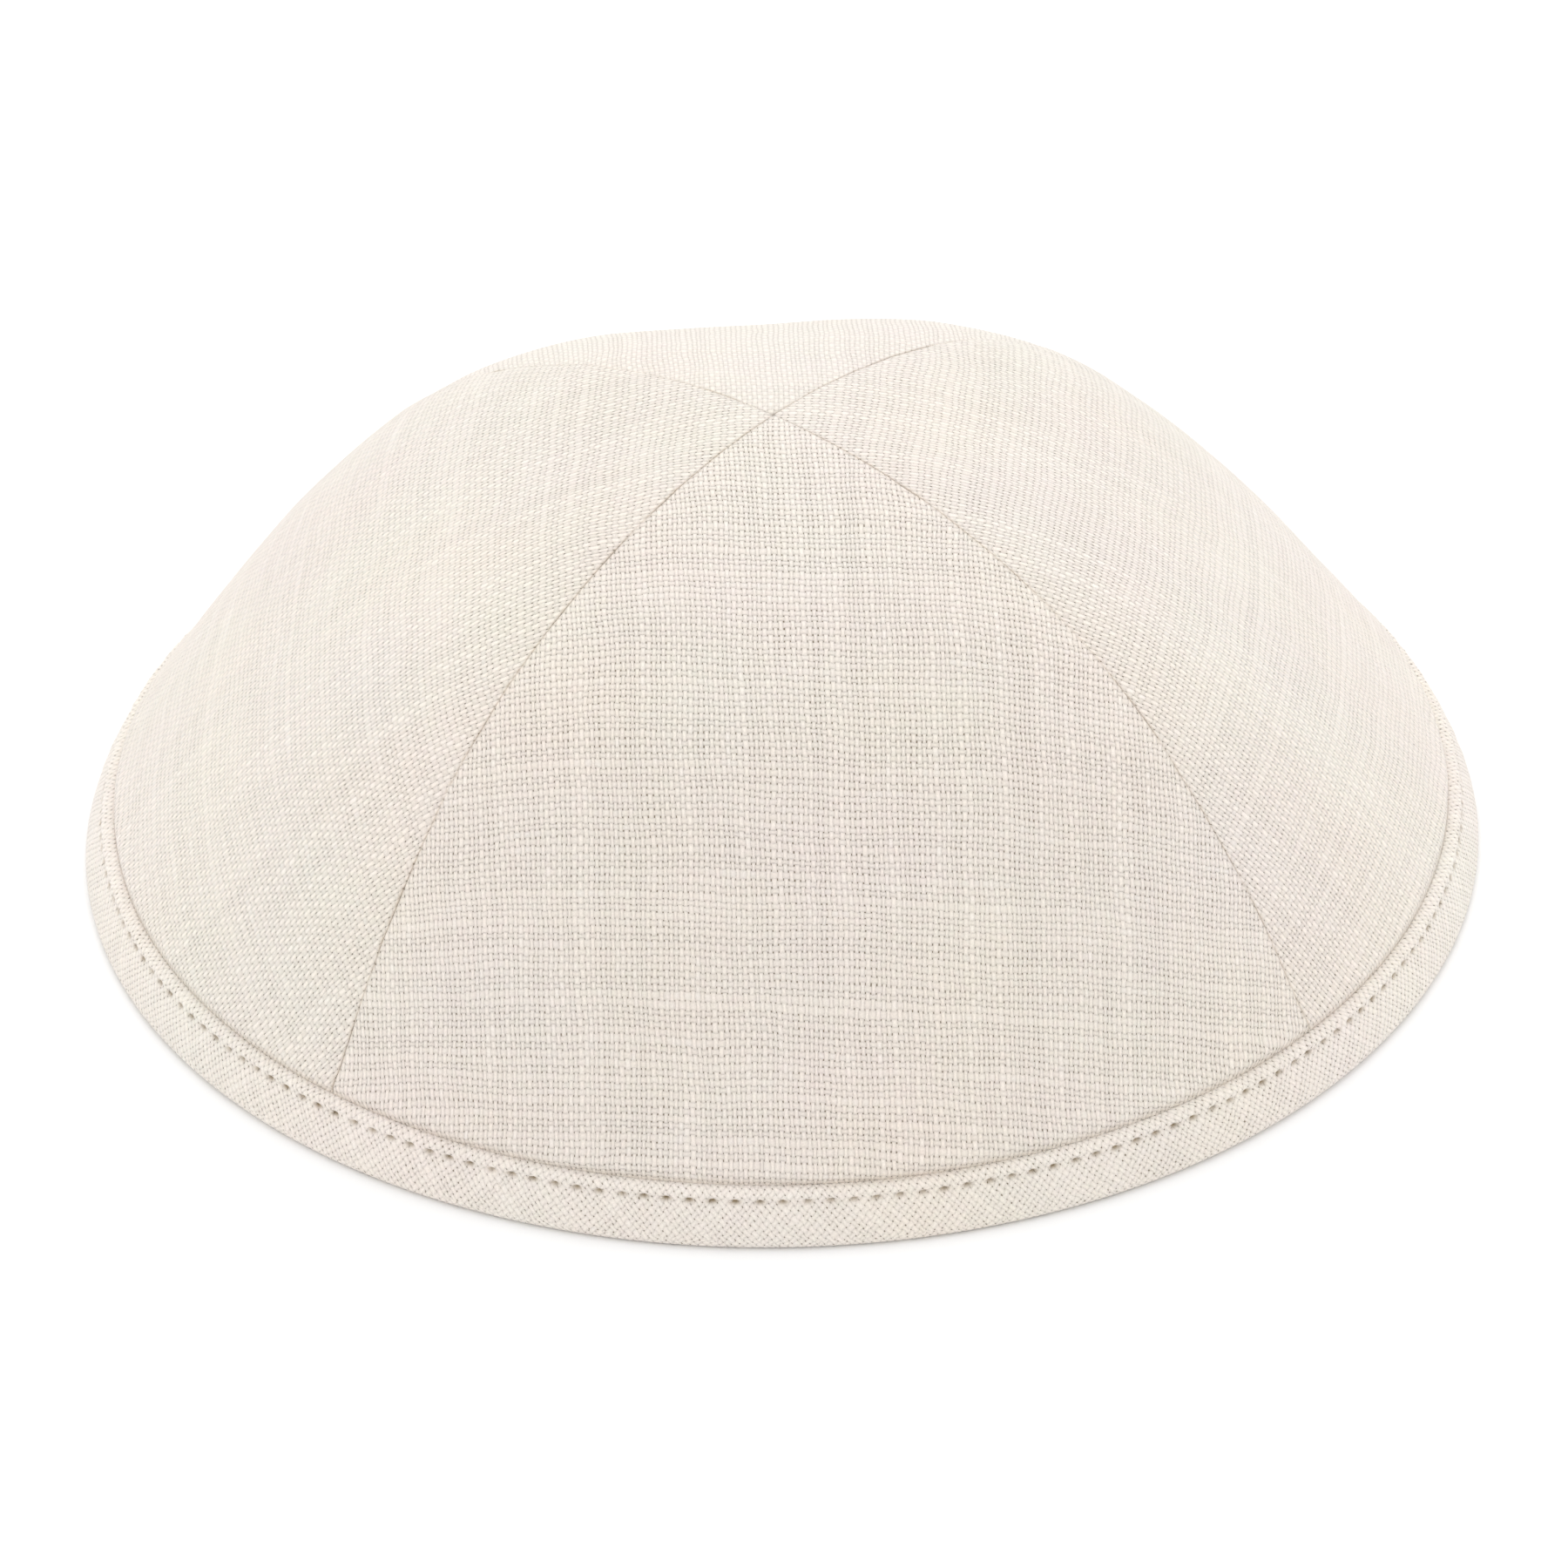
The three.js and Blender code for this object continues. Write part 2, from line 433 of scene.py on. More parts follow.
    def colour(self, sheet: NodeSheet, weave: dict, fuzz) -> bpy.types.NodeSocket:
        """The cloth's colour: threads, slubs and mottling, with painted shade in the pin-holes, on
        the threads' sides, where they dive and in creases, and a painted highlight on the warp's
        floats.

        Args:
            sheet: The material's nodes.
            weave: The sockets that weave() made.
            fuzz: The socket of the fibres' fine noise.

        Returns:
            The colour socket.
        """
        slubby = sheet.ramp(weave["slub"], *SLUB_RAMP)
        threads = sheet.blend(slubby, (*self.thread, 1), (*self.slub, 1))
        # Painted shade on the threads' round sides and in the pin-holes.
        sides = tuple(self.flank_shade * part for part in self.thread)
        filled = sheet.math("MULTIPLY_ADD", weave["fill"], self.hole_fill, weave["height"])
        low = sheet.ramp(filled, *HOLE_SHADE_RAMP)
        high = sheet.ramp(weave["height"], *FLANK_SHADE_RAMP)
        cloth = sheet.blend(high, sheet.blend(low, (*self.hole, 1), (*sides, 1)), threads)
        place = sheet.add("ShaderNodeTexCoord", {}).outputs["Object"]
        level = self.brightness_with_shade - self.warp_highlight / 2 - self.grain_share / 2
        shade = sheet.math("MULTIPLY_ADD", weave["tint"], self.tint_share, level)
        # A painted highlight on the warp's raised floats.
        shade = sheet.math("MULTIPLY_ADD", weave["warp_up"], self.warp_highlight, shade)
        shade = sheet.math("MULTIPLY_ADD", fuzz, self.grain_share, shade)
        # Painted shadow where a thread dives under the other.
        dives = {0: weave["warp_up"], 2: self.weft_dive_shade, 3: self.warp_dive_shade}
        dive_shade = sheet.add("ShaderNodeMix", dives).outputs[0]
        sunk = sheet.math("SUBTRACT", 1.0, sheet.ramp(weave["lift"], *DIVE_SHADE_RAMP))
        shade = sheet.math("SUBTRACT", shade, sheet.math("MULTIPLY", sunk, dive_shade))
        for scale, share in MOTTLES:
            inputs = {"Vector": place, "Scale": scale, "Detail": 2.0}
            cloud = sheet.add("ShaderNodeTexNoise", inputs).outputs["Color"]
            inputs = {0: cloud, 1: (share, share, share), 2: shade}
            settings = {"operation": "MULTIPLY_ADD"}
            shade = sheet.add("ShaderNodeVectorMath", inputs, **settings).outputs[0]
        inputs = {0: 1.0, 6: cloth, 7: shade}
        settings = {"data_type": "RGBA", "blend_type": "MULTIPLY"}
        varied = sheet.add("ShaderNodeMix", inputs, **settings).outputs[2]
        # Painted shade at seams, creases, needle holes and the tape's join, from the shade
        # attribute.
        crease = sheet.add("ShaderNodeAttribute", {}, attribute_name=SHADE_NAME).outputs["Fac"]
        return sheet.blend(crease, varied, (*self.crease, 1))

    def material(self) -> bpy.types.Material:
        """Makes the finish.

        Returns:
            The material, ready to be put on a piece.
        """
        sheet = NodeSheet(self.name)
        weave = self.weave(sheet)
        place = sheet.add("ShaderNodeTexCoord", {}).outputs["Object"]
        inputs = {"Vector": place, "Scale": FUZZ_SCALE, "Detail": 2.0}
        fuzz = sheet.add("ShaderNodeTexNoise", inputs).outputs[0]
        relief = sheet.math("MULTIPLY_ADD", fuzz, FUZZ_RELIEF, weave["height"])
        inputs = {"Strength": 1.0, "Distance": self.relief_mm * MM, "Height": relief}
        bump = sheet.add("ShaderNodeBump", inputs).outputs[0]
        inputs = {
            "Base Color": self.colour(sheet, weave, fuzz),
            "Roughness": self.roughness,
            "Specular IOR Level": 0.2,
            "Sheen Weight": self.sheen,
            "Sheen Roughness": 0.6,
            "Normal": bump,
        }
        return sheet.finish(inputs)


@dataclass(frozen=True)
class SewingThread:
    """Fine two-ply sewing thread, nearly of the cloth's colour."""

    name: str
    colour: tuple[float, float, float] = (0.86, 0.785, 0.70)
    # Painted shade in the grooves between the plies, as a share of the thread colour.
    ply_groove_shade: float = 0.8
    plies_per_mm: float = 2.2
    relief: float = 0.05 * MM

    def material(self) -> bpy.types.Material:
        """Makes the finish.

        Returns:
            The material, ready to be put on a piece.
        """
        sheet = NodeSheet(self.name)
        place = sheet.add("ShaderNodeTexCoord", {}).outputs["Object"]
        inputs = {"Vector": place, "Scale": self.plies_per_mm / MM, "Distortion": 1.5}
        plies = sheet.add("ShaderNodeTexWave", inputs, bands_direction="DIAGONAL").outputs[1]
        # Painted shade in the grooves between the plies.
        groove_shaded = tuple(self.ply_groove_shade * part for part in self.colour)
        inputs = {
            "Base Color": sheet.blend(plies, (*groove_shaded, 1), (*self.colour, 1)),
            "Roughness": 0.75,
            "Specular IOR Level": 0.3,
            "Sheen Weight": 0.15,
        }
        bump = {"Strength": 0.6, "Distance": self.relief, "Height": plies}
        inputs["Normal"] = sheet.add("ShaderNodeBump", bump).outputs[0]
        return sheet.finish(inputs)


def finish_mesh(
    name: str, bm: bmesh.types.BMesh, material: bpy.types.Material
) -> bpy.types.Object:
    """Turns a bmesh into a smooth object with its material.

    Args:
        name: The piece's name.
        bm: The finished mesh, which is freed.
        material: The piece's finish.

    Returns:
        The object, at the origin, in the scene.
    """
    mesh = bpy.data.meshes.new(name)
    for face in bm.faces:
        face.smooth = True
    bm.to_mesh(mesh)
    bm.free()
    mesh.materials.append(material)
    piece = bpy.data.objects.new(name, mesh)
    bpy.context.scene.collection.objects.link(piece)
    return piece


@dataclass(frozen=True)
class Seam:
    """How deep the cloth turns down along one seam, and how much painted shade lies along it."""

    roll: float
    dip: float
    shade: float
    fades_at_tip: bool = False


MIDDLE_LINE_POINTS = 600
FLAT_STEPS = 100
EDGE_STEPS = 9
FOLD_STEPS = 14
# In a shallow arc, (half length)^2 is (half chord)^2 + SAG_SHARE * rise^2.
SAG_SHARE = 4 / 3

# The seams in order from the front left corner, as the panels follow each other.
SEAMS = (
    Seam(roll=0.13 * MM, dip=0.09 * MM, shade=0.25),
    Seam(roll=0.1 * MM, dip=0.06 * MM, shade=0.22, fades_at_tip=True),
    Seam(roll=0.1 * MM, dip=0.06 * MM, shade=0.15),
    Seam(roll=0.1 * MM, dip=0.06 * MM, shade=0.22, fades_at_tip=True),
)

# The side panels: darker painted shade in the pin-holes, a stronger painted highlight on the warp,
# and their own weft width and relief.
SIDE_LOOK = {
    "hole": (0.22, 0.17, 0.11), "warp_highlight": 0.12, "warp_dive_shade": 0.09,
    "weft_width": 0.39, "relief_mm": 0.15,
}
# The four panels are one linen: their differing brightness, pin-hole shade, warp highlight and
# dive shade are painted light and shade, set for how each panel lies to the lamps and the camera.
PANEL_FINISHES = (
    Linen(
        "linen_front", Grain.STRAIGHT, 2.5, 6.0,
        hole=(0.25, 0.19, 0.125), warp_dive_shade=0.09, seed=11.0,
    ),
    Linen("linen_right", Grain.STRAIGHT, 4.0, 10.0, brightness_with_shade=0.862, seed=22.0, **SIDE_LOOK),
    Linen(
        "linen_back", Grain.STRAIGHT, 3.0, 8.0,
        hole=(0.56, 0.47, 0.37), warp_highlight=0.08, warp_dive_shade=0.1, hole_fill=0.4, warp_width=0.44,
        relief_mm=0.12, brightness_with_shade=0.835, seed=33.0,
    ),
    Linen("linen_left", Grain.STRAIGHT, 3.0, 8.5, brightness_with_shade=0.857, seed=44.0, **SIDE_LOOK),
)

# The tape's crease colour is the painted shade of its needle holes and its join.
TAPE_FINISH = Linen(
    "linen_tape", Grain.BIAS, weft_pitch_mm=0.72, thread=(0.90, 0.825, 0.745), flank_shade=0.96,
    warp_highlight=0.01, warp_dive_shade=0.09, hole=(0.24, 0.185, 0.12), hole_fill=0.3,
    crease=(0.31, 0.23, 0.13), relief_mm=0.16, seed=90.0,
)


@dataclass(frozen=True)
class Swells:
    """The sizes of the cloth's small swells, and of the pull along its seams."""

    spread: float = 30 * MM
    broad: float = 0.34 * MM
    fine: float = 0.1 * MM
    fine_crowding: float = 3.3
    pucker: float = 0.16 * MM
    pucker_width: float = 6 * MM
    pucker_crowding: float = 26.0
    dip_width: float = 1.5 * MM
    bank_share: float = 0.45
    bank_place: float = 3.2 * MM
    bank_width: float = 2.2 * MM


@dataclass(frozen=True)
class Allowance:
    """The cloth beyond a seam's stitches, pressed open on the inner face."""

    width: float = 7.0 * MM
    lift: float = 0.4 * MM
    starts: float = 1.5 * MM
    lies_flat: float = 5 * MM
    edge_width: float = 0.5 * MM
    edge_inset: float = 0.4 * MM
    edge_shade: float = 0.3
    seam_width: float = 0.3 * MM
    seam_shade: float = 0.5


@dataclass
class Panel:
    """One of the crown's four panels, a wall of cloth between two seams."""

    name: str
    crown: Crown
    azimuth: float
    low_seam: Seam
    high_seam: Seam
    finish: Linen
    tape_top: float
    wall: float = 1.2 * MM
    seam_gap: float = 0.03 * MM
    hem_height: float = 1.3 * MM
    hem_pinch: float = 0.2 * MM
    pinch_reach: float = 0.65 * MM
    bulge: float = 0.42 * MM
    bulge_above: float = 1.1 * MM
    bulge_width: float = 1.3 * MM
    # Painted shade: in the crevice above the tape, and along the seams, seam_line wide and broken
    # up by the speckle noise.
    crevice_width: float = 0.55 * MM
    crevice_shade: float = 0.26
    seam_line: float = 0.24 * MM
    speckle: float = 1.1
    speckle_crowding: float = 90.0
    swells: Swells = Swells()
    allowance: Allowance = Allowance()
    tip_radius: float = 0.22 * MM
    columns: int = 120
    roll_columns: int = 5
    rows: int = 118
    row_crowding: float = 0.5
    seed: float = 0.0

    def down_of_row(self, share: float) -> float:
        """The share of the way down of a row, with rows closer at the hem."""
        tip = math.asin(self.tip_radius / self.crown.rim_radius) / QUARTER_TURN
        hem = self.crown.down_at(self.hem_height)
        eased = share * (1 + self.row_crowding) - self.row_crowding * share * share
        return tip + (hem - tip) * eased

    def from_seam(self, share: float, half: float, seam: Seam) -> tuple[float, float]:
        """How far a column lies from its nearer seam, and how deep.

        Args:
            share: The column's place from 0 at the seam to 1 at the middle.
            half: The distance from the seam to the middle, in metres.
            seam: The seam that the column is nearer to.

        Returns:
            The distance from the seam and the depth of the roll, in metres.
        """
        roll = min(seam.roll, half / 3)
        rolled = 2 * self.roll_columns / self.columns
        if share < rolled:
            angle = QUARTER_TURN * share / rolled
            return roll * (1 - math.cos(angle)), roll * (1 - math.sin(angle))
        spread = ((share - rolled) / (1 - rolled)) ** 1.5
        return roll + (half - roll) * spread, 0.0

    def softness(self, azimuth: float, down: float, distance: float, seam: Seam) -> float:
        """The cloth's own small swells and puckers.

        Args:
            azimuth: The direction from the axis.
            down: The share of the way down.
            distance: The distance from the nearer seam.
            seam: The nearer seam.

        Returns:
            How far the cloth sinks there, in metres.
        """
        by = self.swells
        place = self.crown.point(azimuth, down) / by.spread
        broad = noise.noise(place + Vector((self.seed, 3.1, 0.0)))
        fine = noise.noise(place * by.fine_crowding + Vector((0.0, self.seed, 7.7)))
        pucker = noise.noise(Vector((down * by.pucker_crowding, self.seed + 4.0, 1.5)))
        pucker *= by.pucker * bell(distance, by.pucker_width)
        fades = smooth_step(down, 0.02, 0.2) * smooth_step(down, 0.99, 0.9)
        sink = (by.broad * broad + by.fine * fine + pucker) * fades
        dip = bell(distance, by.dip_width)
        bank = by.bank_share * bell(distance - by.bank_place, by.bank_width)
        return sink + seam.dip * (dip - bank)

    def inner_face(self, height: float, distance: float) -> tuple[float, float]:
        """The seam allowances, which are pressed open on the inner face.

        Args:
            height: The height above the floor.
            distance: The distance from the nearer seam.

        Returns:
            How far the allowance stands off the cloth, and how much the seam
            and the allowance's cut edge are shaded.
        """
        cloth = self.allowance
        above = height - self.tape_top
        past_edge = distance - cloth.width
        clear = smooth_step(above, cloth.starts, cloth.lies_flat)
        laid = smooth_step(past_edge, cloth.edge_width, -cloth.edge_inset)
        # Painted shade along the allowance's cut edge and along the seam.
        edge = cloth.edge_shade * bell(past_edge - cloth.edge_inset, cloth.edge_width)
        seam = cloth.seam_shade * bell(distance, cloth.seam_width)
        return cloth.lift * laid * clear, max(edge * clear, seam)

    def place_of(self, across: float, share_down: float, inside: bool) -> tuple:
        """Where a point of the flat slab goes on the crown.

        Args:
            across: The place between the two seams, from -1 to 1.
            share_down: The row's place, from 0 at the tip to 1 at the hem.
            inside: Whether the point is on the inner face.

        Returns:
            The point, how much its crease is shaded, from 0 to 1, and the place
            that the point would have on the crown's plain face.
        """
        crown = self.crown
        seam = self.low_seam if across < 0 else self.high_seam
        down = self.down_of_row(share_down)
        half_angle = math.pi / crown.panel_count
        radius = crown.radius(self.azimuth + half_angle, down)
        half = radius * half_angle
        distance, depth = self.from_seam(1 - abs(across), half, seam)
        beside = math.asin(min(0.7, self.seam_gap / 2 / radius)) + distance / radius
        angle = math.copysign(max(0.0, half_angle - beside), across)
        azimuth = self.azimuth + angle
        height = crown.height * math.cos(down * QUARTER_TURN)
        pinch = smooth_step(height, self.tape_top + self.pinch_reach, self.tape_top + 0.1 * MM)
        plain = crown.point(azimuth, down)
        soft = self.softness(azimuth, down, distance, seam)
        if inside:
            soft *= smooth_step(distance, 0.0, 5 * MM)
        above = height - self.tape_top
        soft -= self.bulge * bell(above - self.bulge_above, self.bulge_width)
        inset = soft * (1 - pinch) + pinch * self.hem_pinch
        if inside:
            lift, inner_shade = self.inner_face(height, distance)
            inset += self.wall + lift - pinch * 0.2 * MM - 0.5 * depth
        else:
            inset += depth
        sunk = height - inset * math.cos(down * QUARTER_TURN)
        down = crown.down_at(max(sunk, self.hem_height), inset)
        # Painted shade along the seam, broken up by noise, and in the crevice above the tape.
        fade = smooth_step(radius, 1.5 * MM, 7 * MM) if seam.fades_at_tip else 1.0
        speckle = noise.noise(Vector((down * self.speckle_crowding, self.seed, 9.5)))
        shade = fade * seam.shade * bell(distance, self.seam_line) * (1 + self.speckle * speckle)
        shade = max(shade, self.crevice_shade * bell(above, self.crevice_width))
        return crown.point(azimuth, down, inset), inner_shade if inside else shade, plain

    def cloth_places(self, points: np.ndarray) -> np.ndarray:
        """The flat cloth's coordinates under each point of the panel.

        A point lies on the thread that crosses the middle line nearest to it.

        Args:
            points: The points, a row each, in metres.

        Returns:
            A row for each point: across the panel and down it, in metres.
        """
        outward = np.array((math.cos(self.azimuth), math.sin(self.azimuth), 0.0))
        sideways = np.array((-outward[1], outward[0], 0.0))
        downs = np.linspace(0.0, 1.0, MIDDLE_LINE_POINTS)
        line = np.array([self.crown.point(self.azimuth, down) for down in downs])
        flat_line = np.stack([line @ outward, line[:, 2]], axis=1)
        steps = np.linalg.norm(np.diff(flat_line, axis=0), axis=1)
        lengths = np.concatenate([[0.0], np.cumsum(steps)])
        ways = np.gradient(flat_line, axis=0)
        ways /= np.linalg.norm(ways, axis=1)[:, None]
        across = points @ sideways
        places = np.stack([points @ outward, points[:, 2]], axis=1)
        gaps = np.linalg.norm(places[:, None, :] - flat_line[None, :, :], axis=2)
        nearest = gaps.argmin(axis=1)
        offset = places - flat_line[nearest]
        down = lengths[nearest] + (offset * ways[nearest]).sum(axis=1)
        drop = gaps.min(axis=1)
        width = np.sign(across) * np.sqrt(across**2 + SAG_SHARE * drop**2)
        return np.stack([width, down], axis=1)

    def build(self) -> bpy.types.Object:
        """Shapes the panel from a flat slab.

        Returns:
            The panel.
        """
        bm = bmesh.new()
        bmesh.ops.create_grid(bm, x_segments=self.columns, y_segments=self.rows, size=1.0)
        bmesh.ops.solidify(bm, geom=bm.faces[:], thickness=1.0)
        shade_layer = bm.verts.layers.float.new(SHADE_NAME)
        plain_places = []
        for vert in bm.verts:
            inside = vert.co.z < -0.5
            share_down = (1 - vert.co.y) / 2
            vert.co, vert[shade_layer], plain = self.place_of(vert.co.x, share_down, inside)
            plain_places.append(plain)
        bmesh.ops.recalc_face_normals(bm, faces=bm.faces[:])
        bm.verts.index_update()
        cloth = self.cloth_places(np.array(plain_places))
        uv_layer = bm.loops.layers.uv.new(UV_NAME)
        for face in bm.faces:
            for loop in face.loops:
                loop[uv_layer].uv = cloth[loop.vert.index] / UV_UNIT
        return finish_mesh(f"{self.name}_cloth", bm, self.finish.material())

    def flat_size(self) -> tuple[float, float, float]:
        """The panel's cut.

        Returns:
            Its greatest width, its length and its area, in metres.
        """
        downs = [index / FLAT_STEPS for index in range(FLAT_STEPS + 1)]
        line = [self.crown.point(self.azimuth, down) for down in downs]
        widths = []
        for down in downs:
            arc = [
                self.crown.point(self.azimuth + math.radians(angle), down)
                for angle in range(-45, 46, 5)
            ]
            widths.append(sum((b - a).length for a, b in zip(arc, arc[1:])))
        length = area = 0.0
        for index in range(FLAT_STEPS):
            step = (line[index + 1] - line[index]).length
            length += step
            area += step * (widths[index] + widths[index + 1]) / 2
        return max(widths), length, area

    def dress(self) -> bpy.types.Object:
        """Builds the panel and ties it to the frame.

        Returns:
            The panel.
        """
        piece = self.build()
        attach(piece, "root")
        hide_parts(self.name)
        width, length, area = self.flat_size()
        return piece


@dataclass(frozen=True)
class TapePoint:
    """One point of the tape's section.

    give is how far the point follows the outside's swelling, from 0 to 1, and
    it is less than 0 on the inside of the cap, which swells the other way.
    """

    height: float
    out: float
    give: float = 0.0


@dataclass(frozen=True)
class Pull:
    """How far the stitches pull the tape in, and how it swells beside them."""

    gather_length: float = 0.9 * MM
    groove: float = 0.02 * MM
    groove_width: float = 0.42 * MM
    belly: float = 0.12 * MM
    belly_below: float = 2.4 * MM
    belly_width: float = 1.5 * MM
    unevenness: float = 0.1 * MM
    edge_fine: float = 0.14 * MM
    edge_wide: float = 0.16 * MM
    edge_gather: float = 0.1 * MM


@dataclass
class Binding:
    """The bias tape round the rim and its line of stitches."""

    crown: Crown
    height: float = 6.55 * MM
    inner_height: float = 7.4 * MM
    face: float = 0.9 * MM
    wall: float = 1.0 * MM
    gap: float = 0.12 * MM
    hem_wall: float = 1.0 * MM
    ridge: float = 1.15 * MM
    ridge_cap: float = 0.6 * MM
    puff: float = 0.14 * MM
    fold_lift: float = 1.1 * MM
    fold_drop: float = 1.22 * MM
    stitches: int = 194
    steps_per_stitch: int = 8
    thread_radius: float = 0.17 * MM
    hole_length: float = 0.52 * MM
    hole_width: float = 0.23 * MM
    hole_stray: float = 0.3 * MM
    hole_depth: float = 0.42 * MM
    pull: Pull = Pull()
    thread_sunk: float = 0.16 * MM
    thread_share: float = 0.34
    # Where the tape's ends meet; join_width is the width of the line of painted shade there.
    join_azimuth: float = QUARTER_TURN
    join_width: float = 0.3 * MM

    @property
    def stitch_height(self) -> float:
        """The height of the line of stitches above the floor."""
        return self.height - self.ridge

    @property
    def back(self) -> float:
        """How far out the inner face of the outer leg lies."""
        return self.face - self.wall - self.gap

    @property
    def inner_face(self) -> float:
        """How far out the inner leg's face beside the hem lies."""
        return self.back - self.hem_wall - 4 * self.gap

    @property
    def inner_back(self) -> float:
        """How far out the innermost face of the tape lies."""
        return self.inner_face - self.wall

    def outer_leg(self) -> list[TapePoint]:
        """The outer leg: its face, its round top edge and its back."""
        points = []
        low, high = self.fold_lift, self.stitch_height - 0.9 * MM
        top = self.height - self.ridge_cap
        for start, end, steps in ((low, high, 8), (high, top, 14)):
            for step in range(steps):
                height = start + (end - start) * step / steps
                points.append(TapePoint(height, self.face, 1.0))
        for step in range(EDGE_STEPS + 1):
            angle = QUARTER_TURN * step / EDGE_STEPS
            out = self.back + (self.face - self.back) * math.cos(angle)
            points.append(TapePoint(top + self.ridge_cap * math.sin(angle), out, math.cos(angle)))
        points.append(TapePoint(self.fold_lift, self.back))
        return points

    def inner_leg(self) -> list[TapePoint]:
        """The inner leg: its face beside the hem, its top edge and its back."""
        points = [TapePoint(self.fold_lift, self.inner_face)]
        middle, half = (self.inner_face + self.inner_back) / 2, self.wall / 2
        top = self.inner_height - half
        for step in range(7):
            angle = math.pi * step / 6
            height = top + half * math.sin(angle)
            points.append(TapePoint(height, middle + half * math.cos(angle)))
        for above in (1.2, 0.6, 0.3, 0.0, -0.3, -0.6, -1.2, -2.6):
            height = self.stitch_height + above * MM
            points.append(TapePoint(height, self.inner_back, -0.6))
        points.append(TapePoint(self.fold_lift, self.inner_back, -0.6))
        return points

    def lower_fold(self) -> list[TapePoint]:
        """The fold that the cap rests on, a little flattened."""
        middle, half = (self.face + self.inner_back) / 2, (self.face - self.inner_back) / 2
        points = []
        for step in range(1, FOLD_STEPS):
            angle = math.pi * (step / FOLD_STEPS - 0.5)
            lift = self.fold_lift - self.fold_drop * math.cos(angle)
            points.append(TapePoint(max(0.0, lift), middle + half * math.sin(angle)))
        return points

    def section(self) -> list[TapePoint]:
        """The whole section, once round the folded tape."""
        return self.outer_leg() + self.inner_leg() + self.lower_fold()

    def out_of_hole(self, azimuth: float) -> tuple[float, float]:
        """The nearest needle hole.

        Args:
            azimuth: The direction from the axis.

        Returns:
            The distance along the rim from the hole, and the hole's own random
            number from about -0.5 to 0.5.
        """
        phase = azimuth / FULL_TURN * self.stitches
        pitch = FULL_TURN * self.crown.rim_radius / self.stitches
        hole = round(phase)
        own = noise.noise(Vector((math.cos(hole) * 40, hole % self.stitches * 0.73, 5.5)))
        return (phase - hole) * pitch + own * self.hole_stray, own

    def turn_from_join(self, azimuth: float) -> float:
        """The share of a turn round the rim from the tape's join, 0 to 1."""
        return ((azimuth - self.join_azimuth) / FULL_TURN) % 1.0

    def swell(self, azimuth: float, height: float) -> tuple[float, float, float]:
        """How the tape is pulled in at the stitches and puffs up between them.

        Args:
            azimuth: The direction from the axis.
            height: The height above the floor.

        Returns:
            How far the face moves out, how far the point moves up, and how
            much its crease is shaded.
        """
        along, own = self.out_of_hole(azimuth)
        above = height - self.stitch_height
        ring = Vector((math.cos(azimuth), math.sin(azimuth), 0.0)) * 9
        wide = noise.noise(ring * 1.2 + Vector((0, 0, 2.0)))
        fine = noise.noise(ring * 4.0 + Vector((0, 0, height / MM * 0.3)))
        pull = self.pull
        hole = bell(along, self.hole_length) * bell(above, self.hole_width)
        gather = bell(along, pull.gather_length)
        ridge = smooth_step(above, -0.3 * MM, 0.7 * MM) * (1 - 0.4 * gather)
        out = self.puff * ridge * (1 + 0.5 * wide) + pull.unevenness * fine
        out += pull.belly * bell(above + pull.belly_below, pull.belly_width)
        out -= pull.groove * bell(above, pull.groove_width) + self.hole_depth * hole
        lift = pull.edge_fine * fine + pull.edge_wide * wide - pull.edge_gather * gather
        lift *= smooth_step(above, 0.1 * MM, 0.9 * MM)
        # The needle holes get painted shade, a little different in each.
        return out, lift, hole * (0.92 + 0.5 * own)

    def spin_section(self, section: list[TapePoint]) -> tuple:
        """Spins the section round the rim, a ring of cells to each stitch part.

        Args:
            section: The section's points in order.

        Returns:
            The mesh, and the layer that numbers each vertex's section point.
        """
        bm = bmesh.new()
        number_layer = bm.verts.layers.int.new("section")
        verts = []
        for number, point in enumerate(section):
            vert = bm.verts.new((self.crown.rim_radius + point.out, 0.0, point.height))
            vert[number_layer] = number
            verts.append(vert)
        edges = [bm.edges.new(pair) for pair in zip(verts, verts[1:] + verts[:1])]
        bmesh.ops.spin(
            bm, geom=verts + edges, cent=Vector(), axis=Vector((0, 0, 1)),
            angle=FULL_TURN, steps=self.stitches, use_merge=True,
        )
        rings = [
            edge for edge in bm.edges
            if edge.verts[0][number_layer] == edge.verts[1][number_layer]
        ]
        cuts = self.steps_per_stitch - 1
        bmesh.ops.subdivide_edges(bm, edges=rings, cuts=cuts, use_grid_fill=True)
        bmesh.ops.recalc_face_normals(bm, faces=bm.faces[:])
        return bm, number_layer

    def lay_cloth(self, bm: bmesh.types.BMesh, number_layer, section: list[TapePoint]) -> None:
        """Gives the spun tape its cloth coordinates, open at the join.

        Args:
            bm: The spun mesh, before its vertices move.
            number_layer: The layer that numbers each vertex's section point.
            section: The section's points in order.
        """
        lengths = [0.0]
        for a, b in zip(section, section[1:] + section[:1]):
            lengths.append(lengths[-1] + math.hypot(b.height - a.height, b.out - a.out))
        uv_layer = bm.loops.layers.uv.new(UV_NAME)
        rim = self.crown.rim_radius * FULL_TURN
        for face in bm.faces:
            corners = [loop.vert for loop in face.loops]
            turns = [self.turn_from_join(math.atan2(vert.co.y, vert.co.x)) for vert in corners]
            numbers = [vert[number_layer] for vert in corners]
            wraps = max(turns) - min(turns) > 0.5
            closes = max(numbers) - min(numbers) > 1
            for loop, turn, number in zip(face.loops, turns, numbers):
                along = (turn + 1 if wraps and turn < 0.5 else turn) * rim
                down = lengths[-1] if closes and number == 0 else lengths[number]
                loop[uv_layer].uv = Vector((along, down)) / UV_UNIT

